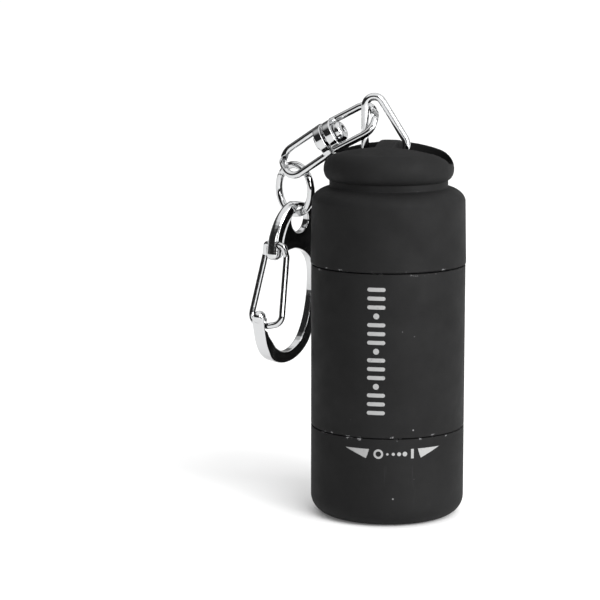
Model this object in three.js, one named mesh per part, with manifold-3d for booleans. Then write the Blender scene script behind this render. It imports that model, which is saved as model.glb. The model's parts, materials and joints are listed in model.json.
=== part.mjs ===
// Keychain flashlight: a small rubber-coated torch with a USB plug under its tail cap,
// a wire bail in the cap's pocket, and a swivel, ring and snap clasp hanging from the bail.
// Millimetres, +Z up. The torch stands on its lens end; X is the axis the bail swings about
// and -Y is the front. The origin is on the torch's axis, at the plane of the head's rim.
import * as THREE from 'three';
import { mergeVertices } from 'three/addons/utils/BufferGeometryUtils.js';
import Module from 'manifold-3d';

const wasm = await Module();
wasm.setup();

// ---- Driving dimensions -------------------------------------------------------------
const SEGMENTS = 44;              // facets round the torch
const SEAM = 0.12;                // half of the dark gap between two shells
const RUNNING_GAP = 0.2;          // radial gap between parts that turn or slide

const HEAD_R = 9.92;
const HEAD_TOP = 11.6;            // seam between head and barrel
const HEAD_CORNER = 2.35;         // rounded rim round the lens
const BARREL_R = 9.92;
const BARREL_TOP = 32.6;          // seam between barrel and tail cap
const BORE_R = 8.6;               // inside of the barrel and of the head's socket

const LENS_R = 7.0;
const LENS_FRONT = 0.3;           // the lens sits this far inside the rim
const LENS_T = 1.5;
const CHAMBER_R = 6.65;           // bore that holds the reflector and the LED board
const LEDGE_Z = 2.6;
const SOCKET_Z = 8.2;             // floor of the head's socket for the barrel's neck
const NECK_R = BORE_R - RUNNING_GAP;

const CAP_R = 10.0;
const CAP_R_TOP = 9.85;           // the cap has a little draft
const SHOULDER_Z = 40.6;
const SHOULDER_A = 2.9;           // elliptical shoulder: reach across and height
const SHOULDER_B = 1.95;
const GROOVE_R = 7.6;             // groove between shoulder and dome
const RIM_R = 8.35;               // widest radius of the dome
const RIM_Z = 44.75;
const RIM_A = 2.2;
const RIM_B = 2.45;
const CREST_Z = 48.42;
const CROWN_R = 18.2;             // radius of the dome's crown
const SPIGOT_Z = 29.4;            // bottom of the cap's spigot inside the barrel
const CAVITY_R = 6.7;             // room for the plug inside the cap
const CAVITY_TOP = 42.6;

const POCKET_HALF_LENGTH = 8.2;
const POCKET_HALF_WIDTH = 4.1;
const POCKET_POWER = 2.5;
const POCKET_FLOOR = 43.7;
const POCKET_SCOOP_R = 21;
const BRIDGE_FOOT = 1.5;          // half-width of the bridge at the pocket floor
const BRIDGE_TOP = 1.15;
const EYE_R = 1.15;               // cross hole through the bridge

const BAIL_PIVOT = new THREE.Vector3(0.1, 0, 45.8);
const BAIL_WIRE_R = 0.5;
const BAIL_HALF_ANGLE = 16 * Math.PI / 180;
const BAIL_HEIGHT = 11.55;        // from the base to where the legs' lines meet
const BAIL_TOP_BEND = 1.2;
const BAIL_BASE_BEND = 1.8;
const BAIL_LEAN = -16 * Math.PI / 180;

const DRAPE_TURN = -10 * Math.PI / 180;   // the chain hangs off the rim in this plane
const DRAPE_X = -3.1;                     // the bail's leg that carries the chain
const SWIVEL_SLOPE = 29.5 * Math.PI / 180;
const SWIVEL_X = -5.0;
const SWIVEL_Y = 0.4;
const SWIVEL_Z = 48.5;
const SWIVEL_GAP = 0.3;
const LINK_PLATE_R = 2.05;
const LINK_PLATE_T = 1.15;
const LINK_WIRE_R = 0.475;
const RIVET_R = 0.8;
const RIVET_HEAD_R = 1.3;

const RING_R = 3.18;
const RING_WIRE_R = 0.5;
const RING_X = -10.3;
const RING_Y = 1.8;
const RING_Z = 41.45;
const RING_TURN = -28 * Math.PI / 180;

const CLASP_X = -9.98;             // centre of the clasp's eye in the drape's frame
const CLASP_Y = 1.7;
const CLASP_Z = 37.42;
const CLASP_TURN = 66 * Math.PI / 180;
const CLASP_LEAN = 8 * Math.PI / 180;
const CLASP_T = 1.3;
const HOOK_T = 2.1;
const BAR_TOP_R = 0.8;
const NOSE_R = 1.0;
const GATE_WIRE_R = 0.42;
const GATE_PIVOT_X = -3.6;
const GATE_PIVOT_Z = -3.4;
const NOTCH_X = -4.3;              // where the gate rests in the hook's notch
const NOTCH_Z = -13.95;
const HOOK_TOP_Z = -12.9;          // the hook ends in a ball that stands on its flat top
const BALL_R = 0.85;
const BALL_X = -5.1;

const NECK_GROOVE = NECK_R - 0.75; // floor of both seal rings' grooves
const CELL_HALF = [5.9, 2.35];     // lithium cell: half width and half thickness
const CELL_LOW = 13.5;
const CELL_LENGTH = 12.4;
const CELL_Y = 2.4;
const BULKHEAD_LOW = 27.4;
const BOARD_FRONT = -3.85;         // control board's front face
const BOARD_BACK = -3.05;

const USB_W = 12.0;
const USB_H = 4.5;
const USB_WALL = 0.3;
const USB_TIP = 42.2;
const USB_BASE = BULKHEAD_LOW;

// ---- Materials ----------------------------------------------------------------------
const paint = (color, roughness, metalness) => ({ color, roughness, metalness });
const RUBBER = paint(0x2b2b2d, 0.75, 0);
const CHROME = paint(0xd9dadc, 0.12, 1);
const BLACK_PLASTIC = paint(0x18181a, 0.5, 0);
const WHITE_PLASTIC = paint(0xe8e8e4, 0.45, 0);
const CLEAR = paint(0xe6f0f4, 0.05, 0);
const SEAL = paint(0x101011, 0.6, 0);
const BOARD = paint(0x1d5a38, 0.45, 0);
const GOLD = paint(0xc9a24a, 0.3, 1);
const NICKEL = paint(0xb9bab8, 0.3, 1);
const MIRROR = paint(0xe9eaec, 0.08, 1);
const PHOSPHOR = paint(0xe9d45c, 0.6, 0);
const FOIL = paint(0xb8bcc2, 0.35, 1);

// ---- Solids -------------------------------------------------------------------------
function solid(geometry) {
  const bare = geometry.clone();
  bare.deleteAttribute('normal');
  bare.deleteAttribute('uv');
  const merged = mergeVertices(bare, 1e-5);
  const vertProperties = new Float32Array(merged.attributes.position.array);
  const triVerts = new Uint32Array(merged.index.array);
  if (signedVolume(vertProperties, triVerts) < 0) triVerts.reverse();
  return new wasm.Manifold(new wasm.Mesh({ numProp: 3, vertProperties, triVerts }));
}

function signedVolume(points, triangles) {
  const [a, b, c] = [new THREE.Vector3(), new THREE.Vector3(), new THREE.Vector3()];
  let volume = 0;
  for (let i = 0; i < triangles.length; i += 3) {
    a.fromArray(points, 3 * triangles[i]);
    b.fromArray(points, 3 * triangles[i + 1]);
    c.fromArray(points, 3 * triangles[i + 2]);
    volume += a.dot(b.cross(c)) / 6;
  }
  return volume;
}

function node(name, shape, look) {
  const cut = shape.getMesh();
  const geometry = new THREE.BufferGeometry();
  geometry.setAttribute('position', new THREE.BufferAttribute(cut.vertProperties, 3));
  geometry.setIndex(new THREE.BufferAttribute(cut.triVerts, 1));
  geometry.computeVertexNormals();
  const mesh = new THREE.Mesh(geometry, new THREE.MeshStandardMaterial(look));
  mesh.name = name;
  return mesh;
}

function lathe(profile, segments = SEGMENTS) {
  const points = profile.map(([r, z]) => new THREE.Vector2(r, z));
  return solid(new THREE.LatheGeometry(points, segments).rotateX(Math.PI / 2));
}

// A ring of rectangular section, or a disc when rInner is 0.
function ring(rInner, rOuter, zLow, zHigh, segments = SEGMENTS) {
  if (rInner === 0) return lathe([[0, zLow], [rOuter, zLow], [rOuter, zHigh], [0, zHigh]], segments);
  return lathe([[rInner, zLow], [rOuter, zLow], [rOuter, zHigh], [rInner, zHigh], [rInner, zLow]],
    segments);
}

function box(x0, x1, y0, y1, z0, z1) {
  const geometry = new THREE.BoxGeometry(x1 - x0, y1 - y0, z1 - z0);
  return solid(geometry.translate((x0 + x1) / 2, (y0 + y1) / 2, (z0 + z1) / 2));
}

// A cylinder along X, Y or Z, centred on a point.
function rod(radius, length, axis, centre, segments = 20) {
  const geometry = new THREE.CylinderGeometry(radius, radius, length, segments);
  if (axis === 'x') geometry.rotateZ(Math.PI / 2);
  if (axis === 'z') geometry.rotateX(Math.PI / 2);
  return solid(geometry.translate(...centre));
}

function ellipseArc(cx, cz, a, b, from, to, steps) {
  const points = [];
  for (let i = 0; i <= steps; i += 1) {
    const t = (from + (to - from) * i / steps) * Math.PI / 180;
    points.push([cx + a * Math.cos(t), cz + b * Math.sin(t)]);
  }
  return points;
}

class Polyline extends THREE.Curve {
  constructor(points) {
    super();
    this.points = points;
    this.lengths = [0];
    for (let i = 1; i < points.length; i += 1) {
      this.lengths.push(this.lengths[i - 1] + points[i].distanceTo(points[i - 1]));
    }
  }

  getPoint(t, target = new THREE.Vector3()) {
    const wanted = t * this.lengths.at(-1);
    let i = 1;
    while (i < this.points.length - 1 && this.lengths[i] < wanted) i += 1;
    const part = (wanted - this.lengths[i - 1]) / (this.lengths[i] - this.lengths[i - 1]);
    return target.copy(this.points[i - 1]).lerp(this.points[i], part);
  }
}

// Rounds every inner corner of a path with an arc of the radius given for it.
function rounded(corners, radii, arcSteps = 6) {
  const path = [corners[0].clone()];
  for (let i = 1; i < corners.length - 1; i += 1) {
    const toPrevious = corners[i - 1].clone().sub(corners[i]).normalize();
    const toNext = corners[i + 1].clone().sub(corners[i]).normalize();
    const half = toPrevious.angleTo(toNext) / 2;
    const centre = toPrevious.clone().add(toNext).normalize()
      .multiplyScalar(radii[i - 1] / Math.sin(half)).add(corners[i]);
    const reach = radii[i - 1] / Math.tan(half);
    const start = corners[i].clone().addScaledVector(toPrevious, reach).sub(centre);
    const end = corners[i].clone().addScaledVector(toNext, reach).sub(centre);
    const axis = start.clone().cross(end).normalize();
    const sweep = start.angleTo(end);
    for (let k = 0; k <= arcSteps; k += 1) {
      path.push(start.clone().applyAxisAngle(axis, sweep * k / arcSteps).add(centre));
    }
  }
  path.push(corners.at(-1).clone());
  return path;
}

function wire(points, radius, steps, halfSides = 6) {
  const section = new THREE.Shape();
  section.absarc(0, 0, radius, 0, 2 * Math.PI);
  const geometry = new THREE.ExtrudeGeometry(section, {
    steps, curveSegments: halfSides, extrudePath: new Polyline(points), bevelEnabled: false,
  });
  return solid(geometry);
}

const inXZ = (x, z, y = 0) => new THREE.Vector3(x, y, z);

// ---- Head ---------------------------------------------------------------------------
function headShell() {
  const top = HEAD_TOP - SEAM;
  return lathe([
    [LENS_R + 0.15, 0], [HEAD_R - HEAD_CORNER, 0],
    ...ellipseArc(HEAD_R - HEAD_CORNER, HEAD_CORNER, HEAD_CORNER, HEAD_CORNER, -80, 0, 6),
    [HEAD_R, top - 0.15], [HEAD_R - 0.15, top],
    [BORE_R, top], [BORE_R, SOCKET_Z], [CHAMBER_R, SOCKET_Z], [CHAMBER_R, LEDGE_Z],
    [LENS_R + 0.15, LEDGE_Z], [LENS_R + 0.15, 0],
  ]);
}

function lens() {
  const back = LENS_FRONT + LENS_T;
  return lathe([[0, LENS_FRONT], [LENS_R - 0.2, LENS_FRONT], [LENS_R, LENS_FRONT + 0.2],
    [LENS_R, back], [0, back]]);
}

function reflector() {
  const FRONT_Z = 1.95;
  const BACK_Z = 6.3;
  const MOUTH_R = 6.0;
  const THROAT_R = 2.65;
  const WALL = 0.42;
  const bowl = (t) => THROAT_R + (MOUTH_R - THROAT_R) * Math.sqrt(1 - t);
  const inner = [];
  for (let i = 0; i <= 6; i += 1) {
    const t = i / 6;
    inner.push([bowl(t), FRONT_Z + (BACK_Z - FRONT_Z) * t]);
  }
  const outer = inner.slice(1).reverse().map(([r, z]) => [r + WALL, z + 0.05]);
  return lathe([...inner, ...outer, [MOUTH_R + WALL, FRONT_Z + 0.3], [MOUTH_R + WALL, FRONT_Z],
    inner[0]], 28);
}

function ledEmitter() {
  const BASE = 1.65;
  const Z_TOP = 6.85;
  const Z_FACE = 6.1;
  const dome = lathe([[0, Z_FACE - 1.15],
    ...ellipseArc(0, Z_FACE, 1.25, 1.15, -75, 0, 4), [1.25, Z_FACE + 0.2], [0, Z_FACE + 0.2]], 20);
  return box(-BASE, BASE, -BASE, BASE, Z_FACE, Z_TOP).add(dome);
}

function contactSpring() {
  const LOW = 8.2;
  const HIGH = 11.7;
  const TURNS = 4;
  const TURN_STEPS = 12;
  const points = [];
  for (let i = 0; i <= TURNS * TURN_STEPS; i += 1) {
    const angle = 2 * Math.PI * i / TURN_STEPS;
    const r = 2.2 - 0.7 * i / (TURNS * TURN_STEPS);
    points.push(new THREE.Vector3(r * Math.cos(angle), r * Math.sin(angle),
      LOW + (HIGH - LOW) * i / (TURNS * TURN_STEPS)));
  }
  return wire(points, 0.22, TURNS * TURN_STEPS, 3);
}

// ---- Barrel -------------------------------------------------------------------------
function barrelShell() {
  const NECK_LOW = 8.45;
  const GROOVE_LOW = 9.35;
  const GROOVE_HIGH = 10.65;
  const FLOOR_R = 7.2;
  const FLOOR_Z = 11.95;
  const low = HEAD_TOP + SEAM;
  const high = BARREL_TOP - SEAM;
  return lathe([
    [FLOOR_R, NECK_LOW], [NECK_R, NECK_LOW], [NECK_R, GROOVE_LOW], [NECK_GROOVE, GROOVE_LOW],
    [NECK_GROOVE, GROOVE_HIGH], [NECK_R, GROOVE_HIGH], [NECK_R, low],
    [BARREL_R - 0.15, low], [BARREL_R, low + 0.15], [BARREL_R, high - 0.15],
    [BARREL_R - 0.15, high], [BORE_R, high], [BORE_R, FLOOR_Z], [FLOOR_R, FLOOR_Z], [FLOOR_R, NECK_LOW],
  ]);
}

// An O-ring sunk in an outside groove.
function sealRing(centreZ) {
  const SECTION_R = 0.38;
  const centreR = NECK_GROOVE + 0.05 + SECTION_R;
  const section = ellipseArc(centreR, centreZ, SECTION_R, SECTION_R, 0, 360, 8);
  section[section.length - 1] = section[0];
  return lathe(section, 32);
}

function carrierHalf(side) {
  const CARRIER_IN = 7.85;
  const shell = ring(CARRIER_IN, BORE_R - 0.25, 13.25, 27.2);
  const SPLIT = 0.06;
  const reach = 12;
  const half = side > 0
    ? box(-reach, reach, SPLIT, reach, 0, 40)
    : box(-reach, reach, -reach, -SPLIT, 0, 40);
  const window = rod(2.2, 30, 'y', [0, 0, 20], 24);
  return shell.intersect(half).subtract(window);
}

function tailBulkhead() {
  const CLEAR_W = USB_W / 2 + 0.1;
  const CLEAR_H = USB_H / 2 + 0.1;
  const slot = box(-CLEAR_W, CLEAR_W, -CLEAR_H, CLEAR_H, BULKHEAD_LOW - 1, BULKHEAD_LOW + 3);
  return ring(0, BORE_R - 0.1, BULKHEAD_LOW, BULKHEAD_LOW + 1.5).subtract(slot);
}

function batteryCell() {
  const shape = new THREE.Shape();
  const [w, t] = CELL_HALF;
  const r = 1.4;
  shape.moveTo(-w + r, -t);
  shape.lineTo(w - r, -t);
  shape.absarc(w - r, -t + r, r, -Math.PI / 2, 0, false);
  shape.absarc(w - r, t - r, r, 0, Math.PI / 2, false);
  shape.absarc(-w + r, t - r, r, Math.PI / 2, Math.PI, false);
  shape.absarc(-w + r, -t + r, r, Math.PI, 1.5 * Math.PI, false);
  const cell = new THREE.ExtrudeGeometry(shape, {
    depth: CELL_LENGTH, bevelEnabled: false, curveSegments: 5,
  });
  return solid(cell.translate(0, CELL_Y, CELL_LOW));
}

// A flat strip from the top of the cell forward to the control board.
function batteryTab(side) {
  const low = CELL_LOW + CELL_LENGTH + 0.3;
  return box(side * 3.2 - 1, side * 3.2 + 1, BOARD_BACK + 0.05, 3.0, low, low + 0.2);
}

function controlBoard() {
  return box(-6.2, 6.2, BOARD_FRONT, BOARD_BACK, 13.4, BULKHEAD_LOW - 0.3);
}

function chargeChip() {
  return box(-2.1, 2.1, BOARD_FRONT - 1.1, BOARD_FRONT - 0.05, 17, 21.2);
}

function boardInductor() {
  return rod(1.6, 1.2, 'y', [3.6, BOARD_FRONT - 0.7, 15.8], 20);
}

function chargeIndicator() {
  return box(-0.8, 0.8, BOARD_FRONT - 0.75, BOARD_FRONT - 0.05, 23.6, 24.6);
}

// ---- USB plug -----------------------------------------------------------------------
function usbShell() {
  const [w, h] = [USB_W / 2, USB_H / 2];
  const outer = box(-w, w, -h, h, USB_BASE, USB_TIP);
  const [inW, inH] = [w - USB_WALL, h - USB_WALL];
  const inner = box(-inW, inW, -inH, inH, USB_BASE - 1, USB_TIP + 1);
  let shell = outer.subtract(inner);
  const WINDOW = 1.25;
  for (const x of [-2.9, 2.9]) {
    const z = USB_TIP - 6;
    shell = shell.subtract(box(x - WINDOW, x + WINDOW, -h - 1, h + 1, z - WINDOW, z + WINDOW));
  }
  return shell;
}

const TONGUE_Y = [-USB_H / 2 + USB_WALL + 0.03, -0.05];

function usbTongue() {
  return box(-5.6, 5.6, TONGUE_Y[0], TONGUE_Y[1], USB_BASE + 0.1, USB_TIP - 0.5);
}

function usbContact(index) {
  const pitch = [-3.5, -1.0, 1.0, 3.5][index];
  const y = TONGUE_Y[1] + 0.03;
  return box(pitch - 0.55, pitch + 0.55, y, y + 0.2, USB_BASE + 1, USB_TIP - 1.2);
}

// ---- Tail cap -----------------------------------------------------------------------
function tailCapOutline() {
  const low = BARREL_TOP + SEAM;
  const GROOVE_LOW = 30.3;
  const GROOVE_HIGH = 31.6;
  const crownAt = (r) => CREST_Z - CROWN_R + Math.sqrt(CROWN_R * CROWN_R - r * r);
  const crown = [5.6, 4.2, 2.6].map((r) => [r, crownAt(r)]);
  return [
    [CAVITY_R, SPIGOT_Z], [NECK_R, SPIGOT_Z], [NECK_R, GROOVE_LOW], [NECK_GROOVE, GROOVE_LOW],
    [NECK_GROOVE, GROOVE_HIGH], [NECK_R, GROOVE_HIGH], [NECK_R, low],
    [CAP_R - 0.15, low], [CAP_R, low + 0.15],
    ...ellipseArc(CAP_R_TOP - SHOULDER_A, SHOULDER_Z, SHOULDER_A, SHOULDER_B, 0, 76, 6),
    [GROOVE_R, SHOULDER_Z + SHOULDER_B], [GROOVE_R, RIM_Z - 1.3],
    ...ellipseArc(RIM_R - 1, RIM_Z, 1, 1.4, -72, 0, 4),
    ...ellipseArc(RIM_R - RIM_A, RIM_Z, RIM_A, RIM_B, 12, 76, 5),
    ...crown, [0, CREST_Z], [0, CAVITY_TOP], [CAVITY_R, CAVITY_TOP], [CAVITY_R, SPIGOT_Z],
  ];
}

function pocketCutter() {
  const STEPS = 36;
  const outline = [];
  const flat = (v, size) => Math.sign(v) * size * Math.abs(v) ** (2 / POCKET_POWER);
  for (let i = 0; i < STEPS; i += 1) {
    const t = 2 * Math.PI * i / STEPS;
    outline.push(new THREE.Vector2(
      flat(Math.cos(t), POCKET_HALF_LENGTH), flat(Math.sin(t), POCKET_HALF_WIDTH)));
  }
  const column = new THREE.ExtrudeGeometry(new THREE.Shape(outline), {
    depth: 10, bevelEnabled: false,
  });
  const scoop = rod(POCKET_SCOOP_R, 20, 'y', [0, 0, POCKET_FLOOR + POCKET_SCOOP_R], 64);
  return solid(column.translate(0, 0, POCKET_FLOOR - 2)).intersect(scoop);
}

function bridge() {
  const shape = new THREE.Shape();
  const z0 = POCKET_FLOOR - 0.5;
  shape.moveTo(-BRIDGE_FOOT, z0);
  shape.lineTo(BRIDGE_FOOT, z0);
  shape.lineTo(BRIDGE_TOP, CREST_Z + 1);
  shape.lineTo(-BRIDGE_TOP, CREST_Z + 1);
  shape.closePath();
  const depth = 2 * POCKET_HALF_WIDTH + 1;
  const bar = new THREE.ExtrudeGeometry(shape, { depth, bevelEnabled: false });
  return solid(bar.rotateX(Math.PI / 2).translate(0, depth / 2, 0));
}

function tailCap() {
  const body = lathe(tailCapOutline());
  const eye = rod(EYE_R, 8, 'x', [0, 0, BAIL_PIVOT.z], 24);
  return body.subtract(pocketCutter().subtract(bridge())).subtract(eye);
}

// ---- Bail, swivel, ring -------------------------------------------------------------
function bailWire() {
  const half = BAIL_HEIGHT * Math.tan(BAIL_HALF_ANGLE);
  const GAP = 0.15;
  const corners = [
    inXZ(GAP, 0), inXZ(half, 0), inXZ(0, BAIL_HEIGHT), inXZ(-half, 0), inXZ(-GAP, 0),
  ];
  const path = rounded(corners, [BAIL_BASE_BEND, BAIL_TOP_BEND, BAIL_BASE_BEND], 8);
  return wire(path, BAIL_WIRE_R, 56, 4);
}

// A loop of wire on a round plate. The plate's axis is X; the loop is turned about X and leans.
function swivelLink(outerLength, halfWidth, turn, lean) {
  const near = SWIVEL_GAP / 2;
  const END_BEND = halfWidth - 0.2;
  const far = outerLength - LINK_WIRE_R;
  const corners = [
    inXZ(near + 0.4, halfWidth), inXZ(far, halfWidth),
    inXZ(far, -halfWidth), inXZ(near + 0.4, -halfWidth),
  ];
  const loop = wire(rounded(corners, [END_BEND, END_BEND], 8), LINK_WIRE_R, 36, 4)
    .rotate([turn, 0, 0]).rotate([0, lean, 0]);
  const plate = rod(LINK_PLATE_R, LINK_PLATE_T, 'x', [near + LINK_PLATE_T / 2, 0, 0], 24);
  const behind = box(-4, near, -5, 5, -5, 5);
  return loop.add(plate).subtract(behind).subtract(rod(RIVET_R + 0.08, 8, 'x', [0, 0, 0], 16));
}

function swivelRivet() {
  const headFace = SWIVEL_GAP / 2 + LINK_PLATE_T + 0.08;
  const HEAD_T = 0.9;
  const TAIL_T = 0.5;
  const TAIL_R = 1.15;
  const profile = [
    [0, -headFace - TAIL_T], [TAIL_R - 0.15, -headFace - TAIL_T],
    [TAIL_R, -headFace - TAIL_T + 0.15], [TAIL_R, -headFace],
    [RIVET_R, -headFace], [RIVET_R, headFace], [RIVET_HEAD_R, headFace],
    [RIVET_HEAD_R, headFace + HEAD_T - 0.25], [RIVET_HEAD_R - 0.25, headFace + HEAD_T],
    [0, headFace + HEAD_T],
  ];
  return lathe(profile, 16).rotate([0, 90, 0]);
}

function jumpRing() {
  const JOINT = 144;
  const HALF_GAP = 2.2;
  const points = [];
  const STEPS = 40;
  for (let i = 0; i <= STEPS; i += 1) {
    const t = (JOINT + HALF_GAP + (360 - 2 * HALF_GAP) * i / STEPS) * Math.PI / 180;
    points.push(inXZ(RING_R * Math.cos(t), RING_R * Math.sin(t)));
  }
  return wire(points, RING_WIRE_R, STEPS, 4);
}

// ---- Snap clasp ---------------------------------------------------------------------
// The clasp's frame: the origin is the centre of its eye, X crosses its opening from the gate
// to the spine, Z runs up its length, and Y is its thickness.
const CLASP_OUTLINE = {
  outer: [
    [-3.85, -3.8], [-3.75, -2.3], [-3.1, -0.1], [-2.3, 1.3], [-1.5, 2.1], [-0.3, 2.45],
    [1.2, 2.25], [2.5, 1.2], [3.3, -1.0], [3.9, -4.4], [4.4, -8.3], [4.55, -11.8],
    [4.15, -15.0], [3.0, -17.0], [1.2, -18.35], [-0.8, -18.8], [-2.8, -18.3], [-4.2, -16.8],
    [-5.1, -14.6], [-5.6, -12.7], [-5.5, -12.3], [-5.1, -12.1], [-4.65, -12.3],
  ],
  inner: [
    [-4.6, -13.6], [-4.1, -15.0], [-3.05, -16.0], [-1.2, -17.15], [0.6, -17.1], [2.2, -15.8],
    [3.15, -13.4], [3.5, -10.6], [3.4, -7.7], [2.95, -5.6], [1.9, -4.25], [0.1, -3.7],
    [-1.5, -4.05], [-2.9, -5.0],
  ],
};

function smooth(points, divisions) {
  const curve = new THREE.SplineCurve(points.map(([x, z]) => new THREE.Vector2(x, z)));
  return curve.getPoints(divisions);
}

function slab(outline, thickness) {
  const geometry = new THREE.ExtrudeGeometry(new THREE.Shape(outline), {
    depth: thickness, bevelEnabled: false,
  });
  return solid(geometry.rotateX(Math.PI / 2).translate(0, thickness / 2, 0));
}

function claspBody() {
  const outline = [...smooth(CLASP_OUTLINE.outer, 44), ...smooth(CLASP_OUTLINE.inner, 28)];
  const hook = slab(outline, HOOK_T).intersect(box(-8, -2.7, -3, 3, -20, -11));
  const aboveHook = box(-7, -4.4, -2, 2, HOOK_TOP_Z, -11);
  const ball = solid(new THREE.SphereGeometry(BALL_R, 20, 12).translate(BALL_X, 0, HOOK_TOP_Z));
  const along = (points, radius) => {
    const path = new THREE.CatmullRomCurve3(points).getPoints(12);
    return wire(path, radius, 8, 6);
  };
  const bar = along([
    inXZ(-1.2, 1.6), inXZ(-2.2, 0.7), inXZ(-3.0, -0.7), inXZ(-3.5, -2.4),
  ], BAR_TOP_R);
  const nose = along([inXZ(-3.35, -1.8), inXZ(-3.57, -3.2), inXZ(-3.55, -5.4)], NOSE_R);
  const eyeShape = [];
  for (let i = 0; i < 24; i += 1) {
    const t = 2 * Math.PI * i / 24;
    eyeShape.push(new THREE.Vector2(1.5 * Math.cos(t), 1.65 * Math.sin(t) + 0.1));
  }
  const notch = rod(GATE_WIRE_R + 0.28, 4, 'y', [NOTCH_X, 0, NOTCH_Z], 20);
  return slab(outline, CLASP_T).add(hook)
    .subtract(aboveHook)
    .add(ball)
    .add(bar)
    .add(nose)
    .subtract(slab(eyeShape, 6))
    .subtract(notch)
    .subtract(rod(GATE_WIRE_R + 0.12, 6, 'y', [GATE_PIVOT_X, 0, GATE_PIVOT_Z], 20));
}

function claspGate() {
  const corners = [];
  const radii = [];
  const leg = (side) => [
    inXZ(GATE_PIVOT_X, GATE_PIVOT_Z, side * 0.35), inXZ(GATE_PIVOT_X, GATE_PIVOT_Z, side * 1.55),
    inXZ(-3.2, -4.8, side * 1.95), inXZ(-3.85, -13.4, side * 2.85),
    inXZ(NOTCH_X, NOTCH_Z, side * 0.9),
  ];
  corners.push(...leg(-1), ...leg(1).reverse());
  radii.push(0.5, 0.7, 1.2, 0.7, 0.7, 1.2, 0.7, 0.5);
  return wire(rounded(corners, radii, 3), GATE_WIRE_R, 60, 4);
}

// ---- Assembly -----------------------------------------------------------------------
const flashlight = new THREE.Group();

flashlight.add(
  node('head_shell', headShell(), RUBBER),
  node('lens', lens(), CLEAR),
  node('lens_seal', ring(6.75, LENS_R, LENS_FRONT + LENS_T + 0.05, LEDGE_Z - 0.05, 40), SEAL),
  node('reflector', reflector(), MIRROR),
  node('led_emitter', ledEmitter(), PHOSPHOR),
  node('led_board', ring(0, CHAMBER_R - 0.2, 6.9, 7.9, 40), BOARD),
  node('contact_spring', contactSpring(), NICKEL));

flashlight.add(
  node('barrel_shell', barrelShell(), RUBBER),
  node('head_seal_ring', sealRing(10.0), SEAL),
  node('contact_plate', ring(0, BORE_R - 0.2, 12.05, 13.05, 40), BOARD),
  node('carrier_front', carrierHalf(-1), BLACK_PLASTIC),
  node('carrier_rear', carrierHalf(1), BLACK_PLASTIC),
  node('tail_bulkhead', tailBulkhead(), BLACK_PLASTIC),
  node('battery_cell', batteryCell(), FOIL),
  node('battery_tab_positive', batteryTab(1), NICKEL),
  node('battery_tab_negative', batteryTab(-1), NICKEL),
  node('control_board', controlBoard(), BOARD),
  node('charge_chip', chargeChip(), BLACK_PLASTIC),
  node('board_inductor', boardInductor(), NICKEL),
  node('charge_indicator', chargeIndicator(), WHITE_PLASTIC),
  node('usb_shell', usbShell(), CHROME),
  node('usb_tongue', usbTongue(), WHITE_PLASTIC));
for (let i = 0; i < 4; i += 1) {
  flashlight.add(node(`usb_contact_${i + 1}`, usbContact(i), GOLD));
}

flashlight.add(
  node('tail_cap', tailCap(), RUBBER),
  node('tail_seal_ring', sealRing(30.95), SEAL));

const bailFrame = new THREE.Group();
bailFrame.position.copy(BAIL_PIVOT);
bailFrame.rotation.y = BAIL_LEAN;
bailFrame.add(node('bail', bailWire(), CHROME));
flashlight.add(bailFrame);

const drape = new THREE.Group();
drape.position.x = DRAPE_X;
drape.rotation.z = DRAPE_TURN;
flashlight.add(drape);

const swivelFrame = new THREE.Group();
swivelFrame.position.set(SWIVEL_X, SWIVEL_Y, SWIVEL_Z);
swivelFrame.rotation.y = -SWIVEL_SLOPE;
swivelFrame.add(
  node('swivel_link_upper', swivelLink(7.4, 2.35, -38, 2), CHROME),
  node('swivel_rivet', swivelRivet(), CHROME));
const lowerLink = node('swivel_link_lower', swivelLink(7.9, 2.05, 26, 4.5), CHROME);
lowerLink.rotation.z = Math.PI;
swivelFrame.add(lowerLink);
drape.add(swivelFrame);

const ringFrame = new THREE.Group();
ringFrame.position.set(RING_X, RING_Y, RING_Z);
ringFrame.rotation.z = RING_TURN;
ringFrame.add(node('jump_ring', jumpRing(), CHROME));
drape.add(ringFrame);

const claspTurn = new THREE.Group();
claspTurn.position.set(CLASP_X, CLASP_Y, CLASP_Z);
claspTurn.rotation.z = CLASP_TURN;
const claspFrame = new THREE.Group();
claspFrame.rotation.y = CLASP_LEAN;
claspFrame.add(
  node('clasp_body', claspBody(), CHROME),
  node('clasp_gate', claspGate(), CHROME));
claspTurn.add(claspFrame);
drape.add(claspTurn);

export default flashlight;
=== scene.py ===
"""Looks of the keychain flashlight: fine shells, cast and bent chrome fittings, and their materials.

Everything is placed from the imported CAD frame. Lengths in this file are in millimetres in each
piece's own frame, and MM turns them into Blender's metres. X is the bail's hinge direction, -Y is
the torch's printed front and +Z runs up from the lens to the tail cap.
"""
import json
import math

import bmesh
import bpy
import numpy as np
from mathutils import Matrix, Vector


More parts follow.
